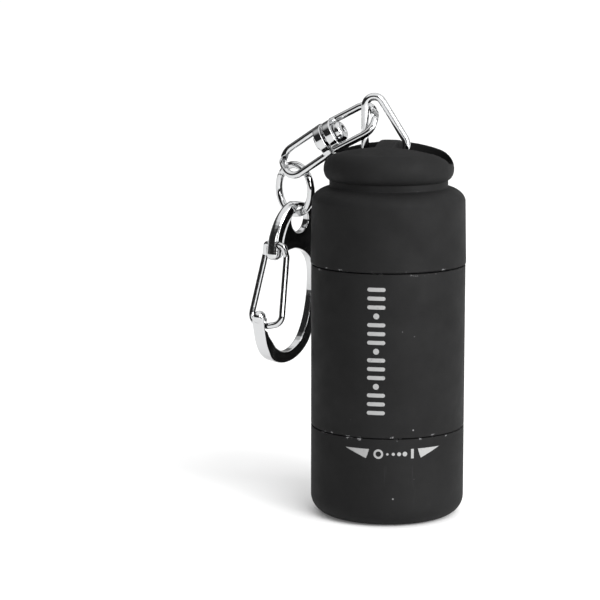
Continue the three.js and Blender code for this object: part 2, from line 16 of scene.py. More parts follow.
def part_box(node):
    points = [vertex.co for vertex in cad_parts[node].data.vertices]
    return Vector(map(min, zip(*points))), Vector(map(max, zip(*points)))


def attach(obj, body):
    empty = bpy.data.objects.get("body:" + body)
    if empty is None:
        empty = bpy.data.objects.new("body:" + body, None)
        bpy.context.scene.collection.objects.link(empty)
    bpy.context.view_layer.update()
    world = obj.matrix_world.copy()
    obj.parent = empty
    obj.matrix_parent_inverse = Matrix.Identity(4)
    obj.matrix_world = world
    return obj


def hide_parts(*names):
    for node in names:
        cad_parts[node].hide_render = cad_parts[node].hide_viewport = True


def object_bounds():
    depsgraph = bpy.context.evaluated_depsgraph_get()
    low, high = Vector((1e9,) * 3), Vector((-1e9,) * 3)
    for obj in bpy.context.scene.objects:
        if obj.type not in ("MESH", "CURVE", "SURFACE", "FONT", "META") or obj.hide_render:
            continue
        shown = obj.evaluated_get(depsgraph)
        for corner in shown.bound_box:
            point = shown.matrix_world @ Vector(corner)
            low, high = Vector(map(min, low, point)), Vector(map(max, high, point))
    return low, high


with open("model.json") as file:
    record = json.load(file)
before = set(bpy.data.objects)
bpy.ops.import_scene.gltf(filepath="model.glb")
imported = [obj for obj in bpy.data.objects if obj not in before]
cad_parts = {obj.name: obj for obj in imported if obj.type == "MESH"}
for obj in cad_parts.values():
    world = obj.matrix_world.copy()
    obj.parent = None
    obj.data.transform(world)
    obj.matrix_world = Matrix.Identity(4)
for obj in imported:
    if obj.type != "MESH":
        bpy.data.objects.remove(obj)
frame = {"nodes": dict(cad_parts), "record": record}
cad_low, cad_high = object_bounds()

MM = 0.001
TAU = 2 * math.pi
MIDDLE = (cad_low + cad_high) / 2

# ---- Dimensions read from the frame, in mm --------------------------------------------
def corners(node):
    low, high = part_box(node)
    return low / MM, high / MM


HEAD_R = corners("head_shell")[1].x
CAD_SEAM = 0.12                   # half of the gap between two shells in the CAD model
SEAM = 0.065                      # half of the gap that shows
HEAD_TOP = corners("head_shell")[1].z + CAD_SEAM - SEAM
BARREL_R = corners("barrel_shell")[1].x
BARREL_TOP = corners("barrel_shell")[1].z + CAD_SEAM - SEAM
CAP_TOP = corners("tail_cap")[1].z
CAP_BOTTOM = corners("tail_cap")[0].z
BARREL_BOTTOM = HEAD_TOP + 2 * SEAM
CAP_FOOT = BARREL_TOP + 2 * SEAM

# ---- Dimensions that the CAD source has too, in mm -------------------------------------
HEAD_CORNER = 2.35                # rounded rim round the lens
APERTURE_R = 7.15
APERTURE_EDGE = 0.08
LENS_R = 7.0
CHAMBER_R = 6.65
LEDGE_Z = 2.6
SOCKET_Z = 8.2
BORE_R = 8.6
NECK_R = 8.4
NECK_LOW = 8.45
NECK_BORE_R = 7.2
NECK_FLOOR_Z = 11.95              # inner step where the barrel's bore ends
SEAL_GROOVE_R = NECK_R - 0.75
HEAD_GROOVE = (9.35, 10.65)       # heights of the two seal grooves' side walls
TAIL_GROOVE = (30.3, 31.6)
EDGE = 0.1                        # rounding of the shells' seam edges

CAP_R = 10.0
CAP_R_TOP = 9.85
SHOULDER_Z = 40.6                 # elliptical shoulder: where it starts, its reach and height
SHOULDER_A = 2.9
SHOULDER_B = 1.95
GROOVE_R = 7.6                    # groove between shoulder and dome
RIM_R = 8.35                      # widest radius of the dome
RIM_Z = 44.75
RIM_A = 2.2
RIM_B = 2.45
CROWN_R = 18.2
CAVITY_R = 6.7
CAVITY_TOP = 42.6
POCKET_A = 8.2
POCKET_B = 4.1
POCKET_POWER = 2.5
POCKET_FLOOR = 43.7
SCOOP_R = 21.0
BRIDGE_FOOT = 1.5                 # half-width of the bridge at the pocket floor
BRIDGE_TOP = 1.15
EYE_R = 1.15                      # cross hole through the bridge
EYE_REACH = 2.5

BAIL_PIVOT = Vector((0.1, 0, 45.8))
BAIL_WIRE_R = 0.5
BAIL_HALF_ANGLE = math.radians(16)
BAIL_HEIGHT = 11.55               # from the base to where the legs' lines meet
BAIL_TOP_BEND = 1.2
BAIL_BASE_BEND = 1.8
BAIL_END = 0.27                   # each end stops this far from the middle of the eye
BAIL_LEAN = math.radians(-16)

DRAPE_TURN = math.radians(-10)    # the chain hangs off the rim in this plane
DRAPE_X = -3.1
SWIVEL_AT = Vector((-5.0, 0.4, 48.5))
SWIVEL_SLOPE = math.radians(29.5)
SWIVEL_GAP = 0.3
PLATE_R = 2.05
PLATE_T = 1.15
LINK_WIRE_R = 0.475
RIVET_R = 0.8
RIVET_GAP = 0.08
RING_AT = Vector((-10.3, 1.8, 41.45))
RING_TURN = math.radians(-28)
RING_R = 3.18
RING_WIRE_R = 0.5
CLASP_AT = Vector((-9.98, 1.7, 37.42))
CLASP_TURN = math.radians(66)
CLASP_LEAN = math.radians(8)
CLASP_T = 1.3                     # thickness of the clasp's frame
HOOK_T = 2.1                      # and of its hook
GATE_WIRE_R = 0.42
GATE_PIVOT = (-3.6, -3.4)
GATE_REST = (-4.3, -13.95)
PIVOT_GAP = 0.12
NOTCH_GAP = 0.28
HOOK_FROM_Z = -11.0               # the frame is thicker below this height, towards the hook
HOOK_THICK_X = -3.8               # full thickness up to here
HOOK_THIN_X = -1.6                # and plain thickness from here
HOOK_TOP_X = -4.4
HOOK_TOP_Z = -12.9                # the hook ends in a ball that stands on its flat top
BALL_R = 0.85
BALL_X = -5.1

DRAPE = Matrix.Translation((DRAPE_X, 0, 0)) @ Matrix.Rotation(DRAPE_TURN, 4, "Z")
SWIVEL = DRAPE @ Matrix.Translation(SWIVEL_AT) @ Matrix.Rotation(-SWIVEL_SLOPE, 4, "Y")
RING = DRAPE @ Matrix.Translation(RING_AT) @ Matrix.Rotation(RING_TURN, 4, "Z")
CLASP = (DRAPE @ Matrix.Translation(CLASP_AT) @ Matrix.Rotation(CLASP_TURN, 4, "Z")
         @ Matrix.Rotation(CLASP_LEAN, 4, "Y"))
BAIL = Matrix.Translation(BAIL_PIVOT) @ Matrix.Rotation(BAIL_LEAN, 4, "Y")
UPRIGHT = Matrix.Identity(4)


# ---- Meshes ------------------------------------------------------------------------------
def piece(name, points, faces, placement=UPRIGHT, sharp=40):
    """A new object from points in mm in a frame of their own."""
    mesh = bpy.data.meshes.new(name)
    placed = [(placement @ Vector(p)) * MM for p in points]
    mesh.from_pydata(placed, [], faces)
    tidy = bmesh.new()
    tidy.from_mesh(mesh)
    bmesh.ops.remove_doubles(tidy, verts=tidy.verts, dist=1e-7)
    bmesh.ops.recalc_face_normals(tidy, faces=tidy.faces)
    tidy.to_mesh(mesh)
    tidy.free()
    mesh.shade_smooth()
    mesh.set_sharp_from_angle(angle=math.radians(sharp))
    made = bpy.data.objects.new(name, mesh)
    bpy.context.scene.collection.objects.link(made)
    return made


def arc(cx, cy, a, b, start, stop, steps):
    """Points of an elliptical arc, angles in degrees."""
    angles = np.radians(np.linspace(start, stop, steps + 1))
    return [(cx + a * math.cos(t), cy + b * math.sin(t)) for t in angles]


def lathe(name, profile, placement=UPRIGHT, segments=160, sharp=40):
    """Turns a closed (r, z) profile about Z."""
    count = len(profile)
    points = []
    faces = []
    for i in range(segments):
        angle = TAU * i / segments
        points += [(r * math.cos(angle), r * math.sin(angle), z) for r, z in profile]
    for i in range(segments):
        here = i * count
        there = (i + 1) % segments * count
        for k in range(count):
            after = (k + 1) % count
            if profile[k][0] > 0 or profile[after][0] > 0:
                faces.append((here + k, there + k, there + after, here + after))
    return piece(name, points, faces, placement, sharp)


def sweep(name, path, radius, placement=UPRIGHT, sides=28, end_round=0.1):
    """A round wire along a path, with softly rounded ends."""
    path = [Vector(p) for p in path]
    tangents = []
    for i in range(len(path)):
        before = path[max(i - 1, 0)]
        after = path[min(i + 1, len(path) - 1)]
        tangents.append((after - before).normalized())
    normal = tangents[0].orthogonal().normalized()
    rings = []
    for i, (centre, tangent) in enumerate(zip(path, tangents)):
        if i:
            turn = tangents[i - 1].rotation_difference(tangent)
            normal = (turn @ normal).normalized()
        rings.append((centre, tangent, normal.copy(), radius))
    first, last = rings[0], rings[-1]
    for step in (0.3, 0.6, 1.0):
        inset = radius - end_round * (1 - math.sqrt(1 - step * step))
        reach = end_round * step
        rings.insert(0, (first[0] - first[1] * reach, first[1], first[2], inset))
        rings.append((last[0] + last[1] * reach, last[1], last[2], inset))
    points = []
    for centre, tangent, normal, r in rings:
        side = tangent.cross(normal)
        for k in range(sides):
            angle = TAU * k / sides
            points.append(centre + (normal * math.cos(angle) + side * math.sin(angle)) * r)
    faces = []
    for i in range(len(rings) - 1):
        for k in range(sides):
            a = i * sides + k
            b = i * sides + (k + 1) % sides
            faces.append((a, b, b + sides, a + sides))
    faces.append(tuple(range(sides)))
    faces.append(tuple(range(len(points) - sides, len(points))))
    return piece(name, points, faces, placement)


def bent(path_corners, radii, arc_steps=16, spacing=0.25):
    """Rounds the inner corners of a path and fills its straights with evenly spaced points."""
    turned = [Vector(path_corners[0])]
    for i in range(1, len(path_corners) - 1):
        corner = Vector(path_corners[i])
        back = (Vector(path_corners[i - 1]) - corner).normalized()
        ahead = (Vector(path_corners[i + 1]) - corner).normalized()
        half = back.angle(ahead) / 2
        centre = corner + (back + ahead).normalized() * (radii[i - 1] / math.sin(half))
        reach = radii[i - 1] / math.tan(half)
        start = corner + back * reach - centre
        stop = corner + ahead * reach - centre
        axis = start.cross(stop).normalized()
        swing = start.angle(stop)
        for k in range(arc_steps + 1):
            turned.append(Matrix.Rotation(swing * k / arc_steps, 3, axis) @ start + centre)
    turned.append(Vector(path_corners[-1]))
    filled = [turned[0]]
    for a, b in zip(turned, turned[1:]):
        parts = max(1, int((b - a).length / spacing))
        filled += [a.lerp(b, k / parts) for k in range(1, parts + 1)]
    return filled


# ---- Shapes as distance fields -----------------------------------------------------------
# A field takes an (n, 3) array of points in mm and gives each one's signed distance to the
# surface, negative inside. Fields blend with real fillets, which booleans can't give. The last
# argument of join and meet is the fillet's radius in mm.
def polygon_distance(points, outline):
    """Signed distance of (n, 2) points to a closed outline."""
    nearest = np.full(len(points), np.inf)
    inside = np.zeros(len(points), bool)
    x, y = points[:, 0], points[:, 1]
    for a, b in zip(outline, np.roll(outline, -1, axis=0)):
        edge = b - a
        rx, ry = x - a[0], y - a[1]
        t = np.clip((rx * edge[0] + ry * edge[1]) / max(edge @ edge, 1e-12), 0, 1)
        nearest = np.minimum(nearest, (rx - t * edge[0]) ** 2 + (ry - t * edge[1]) ** 2)
        if edge[1] != 0:
            crosses = (a[1] > y) != (b[1] > y)
            inside ^= crosses & (rx < edge[0] * ry / edge[1])
    return np.where(inside, -1.0, 1.0) * np.sqrt(nearest)


def path_distance(points, path):
    """Distance of (n, 3) points to a line of straight stretches."""
    nearest = np.full(len(points), np.inf)
    for a, b in zip(path, path[1:]):
        edge = b - a
        rel = points - a
        t = np.clip(rel @ edge / max(edge @ edge, 1e-12), 0, 1)
        nearest = np.minimum(nearest, ((rel - t[:, None] * edge) ** 2).sum(1))
    return np.sqrt(nearest)


def tapered_distance(points, path, first_r, last_r):
    """Distance to a round bar in the plane y = 0 whose radius changes evenly along its path."""
    nearest = np.full(len(points), np.inf)
    count = len(path) - 1
    for i in range(count):
        a = np.array((path[i][0], 0, path[i][1]))
        edge = np.array((path[i + 1][0], 0, path[i + 1][1])) - a
        t = np.clip((points - a) @ edge / max(edge @ edge, 1e-12), 0, 1)
        radius = first_r + (last_r - first_r) * (i + t) / count
        gap = np.linalg.norm(points - a - t[:, None] * edge, axis=1) - radius
        nearest = np.minimum(nearest, gap)
    return nearest


def join(a, b, fillet):
    """Both solids together, with a fillet where they meet."""
    corner = np.hypot(np.maximum(fillet - a, 0), np.maximum(fillet - b, 0))
    return np.maximum(fillet, np.minimum(a, b)) - corner


def meet(a, b, rounding):
    """What two solids share, with a rounded edge. The second one negated is cut away."""
    corner = np.hypot(np.maximum(rounding + a, 0), np.maximum(rounding + b, 0))
    return np.minimum(-rounding, np.maximum(a, b)) + corner


def slopes(field, points, step=0.004):
    """The field's gradient at each point."""
    found = np.empty_like(points)
    for axis in range(3):
        shift = np.zeros(3)
        shift[axis] = step
        found[:, axis] = (field(points + shift) - field(points - shift)) / (2 * step)
    return found


def even_copy(node, voxel):
    """A CAD node's solid as a new object of small even faces."""
    made = bpy.data.objects.new(node + "_fine", frame["nodes"][node].data.copy())
    bpy.context.scene.collection.objects.link(made)
    welded = bmesh.new()
    welded.from_mesh(made.data)
    bmesh.ops.remove_doubles(welded, verts=welded.verts, dist=1e-7)
    welded.to_mesh(made.data)
    welded.free()
    remesh = made.modifiers.new("even", "REMESH")
    remesh.mode = "VOXEL"
    remesh.voxel_size = voxel * MM
    graph = bpy.context.evaluated_depsgraph_get()
    mesh = bpy.data.meshes.new_from_object(made.evaluated_get(graph))
    made.modifiers.clear()
    made.data = mesh
    return made


def shaped(node, field, placement=UPRIGHT, voxel=0.12, rounds=3):
    """A CAD node's solid drawn onto the exact smooth surface of a field."""
    made = even_copy(node, voxel * (1))
    mesh = made.data
    flat = np.empty(len(mesh.vertices) * 3)
    mesh.vertices.foreach_get("co", flat)
    turn = np.array(placement.to_3x3())
    origin = np.array(placement.translation)
    points = (flat.reshape(-1, 3) / MM - origin) @ turn
    for _ in range(rounds):
        slope = slopes(field, points)
        value = field(points)
        step = value / np.maximum((slope ** 2).sum(1), 0.2)
        points -= np.clip(step, -0.2, 0.2)[:, None] * slope
    slope = slopes(field, points)
    placed = (points @ turn.T + origin) * MM
    mesh.vertices.foreach_set("co", placed.ravel())
    mesh.update()
    mesh.shade_smooth()
    normals = slope @ turn.T
    normals /= np.maximum(np.linalg.norm(normals, axis=1), 1e-9)[:, None]
    mesh.normals_split_custom_set_from_vertices(normals.tolist())
    return made


# ---- Head and barrel ---------------------------------------------------------------------
def head_shell():
    corner_r = HEAD_R - HEAD_CORNER
    return lathe("head_body", [
        (APERTURE_R + APERTURE_EDGE, 0), (corner_r, 0),
        *arc(corner_r, HEAD_CORNER, HEAD_CORNER, HEAD_CORNER, -84, 0, 22),
        *arc(HEAD_R - EDGE, HEAD_TOP - EDGE, EDGE, EDGE, 0, 90, 5),
        (BORE_R, HEAD_TOP), (BORE_R, SOCKET_Z), (CHAMBER_R, SOCKET_Z), (CHAMBER_R, LEDGE_Z),
        (APERTURE_R, LEDGE_Z), (APERTURE_R, APERTURE_EDGE)])


def barrel_shell():
    low, high = BARREL_BOTTOM, BARREL_TOP
    groove_low, groove_high = HEAD_GROOVE
    return lathe("barrel_body", [
        (NECK_BORE_R, NECK_LOW), (NECK_R - EDGE, NECK_LOW), (NECK_R, NECK_LOW + EDGE),
        (NECK_R, groove_low), (SEAL_GROOVE_R, groove_low), (SEAL_GROOVE_R, groove_high),
        (NECK_R, groove_high), (NECK_R, low),
        *arc(BARREL_R - EDGE, low + EDGE, EDGE, EDGE, -90, 0, 5),
        *arc(BARREL_R - EDGE, high - EDGE, EDGE, EDGE, 0, 90, 5),
        (BORE_R + EDGE, high), (BORE_R, high - EDGE), (BORE_R, NECK_FLOOR_Z),
        (NECK_BORE_R, NECK_FLOOR_Z)])


def lens():
    front = corners("lens")[0].z
    back = corners("lens")[1].z
    return lathe("lens_clear", [
        (0, front), (LENS_R - 0.25, front), (LENS_R - 0.07, front + 0.07), (LENS_R, front + 0.25),
        (LENS_R, back - 0.1), (LENS_R - 0.1, back), (0, back)])


def reflector():
    front = corners("reflector")[0].z
    back = corners("reflector")[1].z - 0.05
    mouth, throat, wall = 6.0, 2.65, 0.42
    depth = back - front
    inner = []
    for i in range(33):
        share = i / 32
        inner.append((throat + (mouth - throat) * math.sqrt(1 - share), front + depth * share))
    outer = [(r + wall, z + 0.05) for r, z in reversed(inner[1:])]
    return lathe("reflector_bowl",
                 inner + outer + [(mouth + wall, front + 0.3), (mouth + wall, front)])


def seal(node, name):
    low, high = corners(node)
    centre_z = (low.z + high.z) / 2
    section = (high.z - low.z) / 2
    return lathe(name, arc(high.x - section, centre_z, section, section, 0, 345, 23), sharp=60)


# ---- Tail cap ----------------------------------------------------------------------------
def cap_profile():
    """The cap's (r, z) half section: cavity, spigot with its groove, skirt, neck, rim and crown."""
    groove_low, groove_high = TAIL_GROOVE
    crown = []
    for r in np.linspace(6.9, 0, 12)[1:]:
        crown.append((r, CAP_TOP - CROWN_R + math.sqrt(CROWN_R ** 2 - r * r)))
    return np.array([
        (0, CAVITY_TOP), (CAVITY_R, CAVITY_TOP), (CAVITY_R, CAP_BOTTOM), (NECK_R, CAP_BOTTOM),
        (NECK_R, groove_low), (SEAL_GROOVE_R, groove_low), (SEAL_GROOVE_R, groove_high),
        (NECK_R, groove_high),
        (NECK_R, CAP_FOOT), *arc(CAP_R - EDGE, CAP_FOOT + EDGE, EDGE, EDGE, -90, 0, 4),
        *arc(CAP_R_TOP - SHOULDER_A, SHOULDER_Z, SHOULDER_A, SHOULDER_B, 0, 74, 18),
        (GROOVE_R + 0.02, SHOULDER_Z + SHOULDER_B + 0.02),
        (GROOVE_R, SHOULDER_Z + SHOULDER_B + 0.1), (GROOVE_R, RIM_Z - 1.42),
        *arc(RIM_R - 1, RIM_Z, 1, 1.4, -70, 0, 9),
        *arc(RIM_R - RIM_A, RIM_Z, RIM_A, RIM_B, 6, 78, 14)[:-1],
        *crown])


def pocket_outline():
    """A superellipse, squarer than an ellipse."""
    angles = np.linspace(0, TAU, 96, endpoint=False)
    power = 2 / POCKET_POWER
    x = np.sign(np.cos(angles)) * POCKET_A * np.abs(np.cos(angles)) ** power
    y = np.sign(np.sin(angles)) * POCKET_B * np.abs(np.sin(angles)) ** power
    return np.stack([x, y], 1)


CAP_PROFILE = cap_profile()
POCKET_OUTLINE = pocket_outline()


def cap_field(points):
    """The cap with its scooped pocket, the bridge across it and the bail's eye."""
    x, y, z = points.T
    shell = polygon_distance(np.stack([np.hypot(x, y), z], 1), CAP_PROFILE)
    column = polygon_distance(points[:, :2], POCKET_OUTLINE)
    scoop = np.hypot(x, z - POCKET_FLOOR - SCOOP_R) - SCOOP_R
    pocket = meet(column, scoop, 0.45)
    share = np.clip((z - POCKET_FLOOR) / (CAP_TOP - POCKET_FLOOR), 0, 1.2)
    bridge = np.abs(x) - (BRIDGE_FOOT + (BRIDGE_TOP - BRIDGE_FOOT) * share)
    pocket = meet(pocket, -bridge, 0.3)
    eye = np.maximum(np.hypot(y, z - BAIL_PIVOT.z) - EYE_R, np.abs(x) - EYE_REACH)
    pocket = join(pocket, eye, 0.12)
    return meet(shell, -pocket, 0.16)


# ---- Bail, swivel and ring ---------------------------------------------------------------
def bail():
    """A triangle of wire whose two ends meet in the bridge's eye."""
    half = BAIL_HEIGHT * math.tan(BAIL_HALF_ANGLE)
    path = bent([(BAIL_END, 0, 0), (half, 0, 0), (0, 0, BAIL_HEIGHT), (-half, 0, 0), (-BAIL_END, 0, 0)],
                [BAIL_BASE_BEND, BAIL_TOP_BEND, BAIL_BASE_BEND], arc_steps=22)
    return sweep("bail_wire", path, BAIL_WIRE_R, BAIL, sides=32)


def link_field(outer_length, half_width, turn, lean):
    """One half of the swivel: a wire loop cast onto a drilled plate, along local X."""
    near = SWIVEL_GAP / 2
    far = outer_length - LINK_WIRE_R
    loop = bent([(near + 0.4, 0, half_width), (far, 0, half_width), (far, 0, -half_width),
                 (near + 0.4, 0, -half_width)], [half_width - 0.2] * 2, arc_steps=14, spacing=9)
    spin = Matrix.Rotation(math.radians(lean), 3, "Y") @ Matrix.Rotation(math.radians(turn), 3, "X")
    path = np.array([spin @ p for p in loop])

    def field(points):
        x = points[:, 0]
        across = np.hypot(points[:, 1], points[:, 2])
        plate = meet(across - PLATE_R, np.abs(x - near - PLATE_T / 2) - PLATE_T / 2, 0.14)
        wire = path_distance(points, path) - LINK_WIRE_R
        body = meet(join(plate, wire, 0.3), near - x, 0.1)
        return meet(body, RIVET_R + RIVET_GAP - across, 0.1)

    return field


UPPER_LINK = link_field(outer_length=7.4, half_width=2.35, turn=-38, lean=2)
LOWER_LINK = link_field(outer_length=7.9, half_width=2.05, turn=26, lean=4.5)


def swivel_rivet():
    """A shaft with a domed, dimpled head at one end and a flatter one at the other."""
    face = SWIVEL_GAP / 2 + PLATE_T + RIVET_GAP
    head_r, head_t, tail_r, tail_t = 1.3, 0.9, 1.15, 0.5
    profile = [
        (0, -face - tail_t), *arc(tail_r - 0.3, -face - tail_t + 0.3, 0.3, 0.3, -90, 0, 6),
        (tail_r, -face), (RIVET_R, -face), (RIVET_R, face), (head_r - 0.05, face),
        (head_r, face + 0.05), *arc(head_r - 0.45, face + head_t - 0.45, 0.45, 0.45, 0, 90, 8),
        (0.62, face + head_t), (0.5, face + head_t - 0.22), (0, face + head_t - 0.3)]
    return lathe("rivet", profile, SWIVEL @ Matrix.Rotation(math.pi / 2, 4, "Y"), 64)


def jump_ring():
    """An open ring: the cut is at an angle of 144 degrees and 6.4 degrees wide."""
    joint, half_gap = 144, 3.2
    path = arc(0, 0, RING_R, RING_R, joint + half_gap, joint + 360 - half_gap, 120)
    return sweep("ring_wire", [(x, 0, z) for x, z in path], RING_WIRE_R, RING, 32, 0.07)


# ---- Snap clasp --------------------------------------------------------------------------
# The clasp's own frame has its origin at the middle of the eye, X from the gate to the spine,
# Z up its length and Y through its thickness. The outline's points are (x, z).
OUTER_SIDE = [
    (-3.85, -3.8), (-3.75, -2.3), (-3.1, -0.1), (-2.3, 1.3), (-1.5, 2.1), (-0.3, 2.45), (1.2, 2.25),
    (2.5, 1.2), (3.3, -1.0), (3.9, -4.4), (4.4, -8.3), (4.55, -11.8), (4.15, -15.0), (3.0, -17.0),
    (1.2, -18.35), (-0.8, -18.8), (-2.8, -18.3), (-4.2, -16.8), (-5.1, -14.6), (-5.6, -12.7),
    (-5.5, -12.3), (-5.1, -12.1), (-4.65, -12.3)]
INNER_SIDE = [
    (-4.6, -13.6), (-4.1, -15.0), (-3.05, -16.0), (-1.2, -17.15), (0.6, -17.1), (2.2, -15.8),
    (3.15, -13.4), (3.5, -10.6), (3.4, -7.7), (2.95, -5.6), (1.9, -4.25), (0.1, -3.7), (-1.5, -4.05),
    (-2.9, -5.0)]


def flowing(points, steps):
    """A Catmull-Rom curve through points, with an even number of steps between them."""
    ends = [points[0], *points, points[-1]]
    curve = []
    for p0, p1, p2, p3 in zip(*(np.array(ends[i:len(ends) - 3 + i]) for i in range(4))):
        for k in range(steps):
            t = k / steps
            curve.append(0.5 * (2 * p1 + (p2 - p0) * t + (2 * p0 - 5 * p1 + 4 * p2 - p3) * t * t
                                + (3 * p1 - p0 - 3 * p2 + p3) * t ** 3))
    curve.append(np.array(points[-1]))
    return curve


BAR_LINE = [(-1.2, 1.6), (-2.2, 0.7), (-3.0, -0.7), (-3.48, -2.4), (-3.56, -3.6), (-3.55, -5.4)]
BAR_TOP_R = 0.8
NOSE_R = 1.0
NOSE_END_Z = -5.45
CLASP_EYE_A = 1.5                 # the eye's half width and half height
CLASP_EYE_B = 1.65
CLASP_EYE_Z = 0.1
CLASP_EYE_SCALE = 1.55            # turns the ellipse's value into a distance in mm
CLASP_OUTLINE = np.array(flowing(OUTER_SIDE, 4) + flowing(INNER_SIDE, 4))


def clasp_field(points):
    """The cast frame with its bar and nose, its hook and ball, the eye, and the gate's holes."""
    x, y, z = points.T
    flat = polygon_distance(points[:, [0, 2]], CLASP_OUTLINE)
    share = np.clip((HOOK_THIN_X - x) / (HOOK_THIN_X - HOOK_THICK_X), 0, 1)
    share = np.where(z < HOOK_FROM_Z, share, 0)
    half = (CLASP_T + (HOOK_T - CLASP_T) * share * share * (3 - 2 * share)) / 2
    body = meet(flat, np.abs(y) - half, 0.22)
    above_hook = np.maximum(np.maximum(x - HOOK_TOP_X, HOOK_TOP_Z - z), z - HOOK_FROM_Z)
    body = meet(body, -above_hook, 0.12)
    ball = np.sqrt((x - BALL_X) ** 2 + y ** 2 + (z - HOOK_TOP_Z) ** 2) - BALL_R
    body = join(body, ball, 0.06)
    bar = tapered_distance(points, flowing(BAR_LINE, 4), BAR_TOP_R, NOSE_R)
    bar = meet(bar, NOSE_END_Z - z, 0.8)
    body = join(body, bar, 0.3)
    eye = np.hypot(x / CLASP_EYE_A, (z - CLASP_EYE_Z) / CLASP_EYE_B) - 1
    body = meet(body, -eye * CLASP_EYE_SCALE, 0.3)
    notch = np.hypot(x - GATE_REST[0], z - GATE_REST[1]) - GATE_WIRE_R - NOTCH_GAP
    body = meet(body, -notch, 0.1)
    pivot = np.hypot(x - GATE_PIVOT[0], z - GATE_PIVOT[1]) - GATE_WIRE_R - PIVOT_GAP
    return meet(body, -pivot, 0.06)


def clasp_gate():
    """A loop of spring wire. Its two ends turn in the frame and its foot rests in the hook's notch."""
    px, pz = GATE_PIVOT

    def leg(side):
        return [(px, side * 0.35, pz), (px, side * 1.55, pz), (-3.2, side * 1.95, -4.8),
                (-3.85, side * 2.85, -13.4),
                (GATE_REST[0], side * 0.9, GATE_REST[1])]

    radii = [0.5, 0.7, 1.2, 0.7]
    path = bent(leg(-1) + leg(1)[::-1], radii + radii[::-1], 10)
    return sweep("gate_wire", path, GATE_WIRE_R, CLASP, 24)


# ---- Printed marks -----------------------------------------------------------------------
PRINT_T = 0.02


def on_shell(radius, u, v, lift=0.0):
    """A flat place (u to the right, v up, in mm) wrapped on a shell, seen from the front."""
    angle = u / radius
    return ((radius + lift) * math.sin(angle), -(radius + lift) * math.cos(angle), v)


def printed(name, radius, strips):
    """Thin pads of paint. A strip is a list of (u, v_low, v_high) columns."""
    points = []
    faces = []
    for columns in strips:
        start = len(points)
        for u, low, high in columns:
            for lift in (-PRINT_T, PRINT_T):
                points.append(on_shell(radius, u, low, lift))
                points.append(on_shell(radius, u, high, lift))
        for i in range(len(columns) - 1):
            a = start + 4 * i
            b = a + 4
            faces += [(a, a + 1, b + 1, b), (a + 2, b + 2, b + 3, a + 3),
                      (a, b, b + 2, a + 2), (a + 1, a + 3, b + 3, b + 1)]
        end = start + 4 * (len(columns) - 1)
        faces += [(start, start + 2, start + 3, start + 1), (end, end + 1, end + 3, end + 2)]
    return piece(name, points, faces, sharp=30)


def bar_strip(u, v, width, height, steps=20):
    """A bar with round ends."""
    r = height / 2
    columns = []
    for i in range(steps + 1):
        offset = -math.cos(math.pi * i / steps) * width / 2
        over = max(0.0, abs(offset) - (width / 2 - r))
        half = math.sqrt(max(r * r - over * over, 1e-6))
        columns.append((u + offset, v - half, v + half))
    return columns


def half_ring_strips(u, v, outer, inner, steps=24):
    """A ring as its upper and lower halves."""
    halves = []
    for side in (1, -1):
        columns = []
        for i in range(steps + 1):
            offset = -math.cos(math.pi * i / steps) * outer
            far = math.sqrt(max(outer ** 2 - offset ** 2, 1e-6))
            near = math.sqrt(max(inner ** 2 - offset ** 2, 0))
            ends = sorted((side * far, side * near))
            columns.append((u + offset, v + ends[0], v + ends[1] + 1e-4))
        halves.append(columns)
    return halves


def barrel_marks():
    """A plain scale up the front: three rounded bars and a dot, over and over."""
    pitch, stroke, count, width = 1.12, 0.5, 15, 2.3
    top = BARREL_TOP - 1.35
    strips = []
    for i in range(count):
        z = top - pitch * (i + 0.5)
        dot = i % 4 == 3
        strips.append(bar_strip(0.1, z, stroke * 1.5 if dot else width, stroke * (1.5 if dot else 1)))
    return printed("barrel_marks", BARREL_R, strips)


def wedge_strip(tip_u, base_u, top, bottom, slant, steps=16):
    """A pointed wedge with a level top edge and a slanted base."""
    columns = []
    for i in range(steps + 1):
        share = i / steps
        u = tip_u + (base_u - tip_u) * share
        beyond = max(0.0, abs(u - tip_u) - (abs(base_u - tip_u) - slant)) / slant
        low = top - (top - bottom) * min(share / (1 - slant / abs(base_u - tip_u)), 1)
        low += (top - bottom) * beyond * 0.98
        columns.append((u, min(low, top - 0.01), top))
    return columns if base_u > tip_u else columns[::-1]


def head_marks():
    """Two wedges, and between them a ring, dots that grow and a bar: off at one end, on at the other."""
    top, bottom = 10.28, 9.06
    middle = (top + bottom) / 2
    half = (top - bottom) / 2
    strips = [
        wedge_strip(-3.95, -0.75, top, bottom, 0.35),
        wedge_strip(8.7, 5.55, top, bottom, 0.35),
        *half_ring_strips(0.45, middle, half, half - 0.26)]
    for i in range(4):
        size = 0.3 + 0.1 * i
        strips.append(bar_strip(1.6 + 0.74 * i, middle, size, size))
    strips.append([(u, bottom, top) for u in (4.62, 4.8, 4.98)])
    return printed("head_marks", HEAD_R, strips)


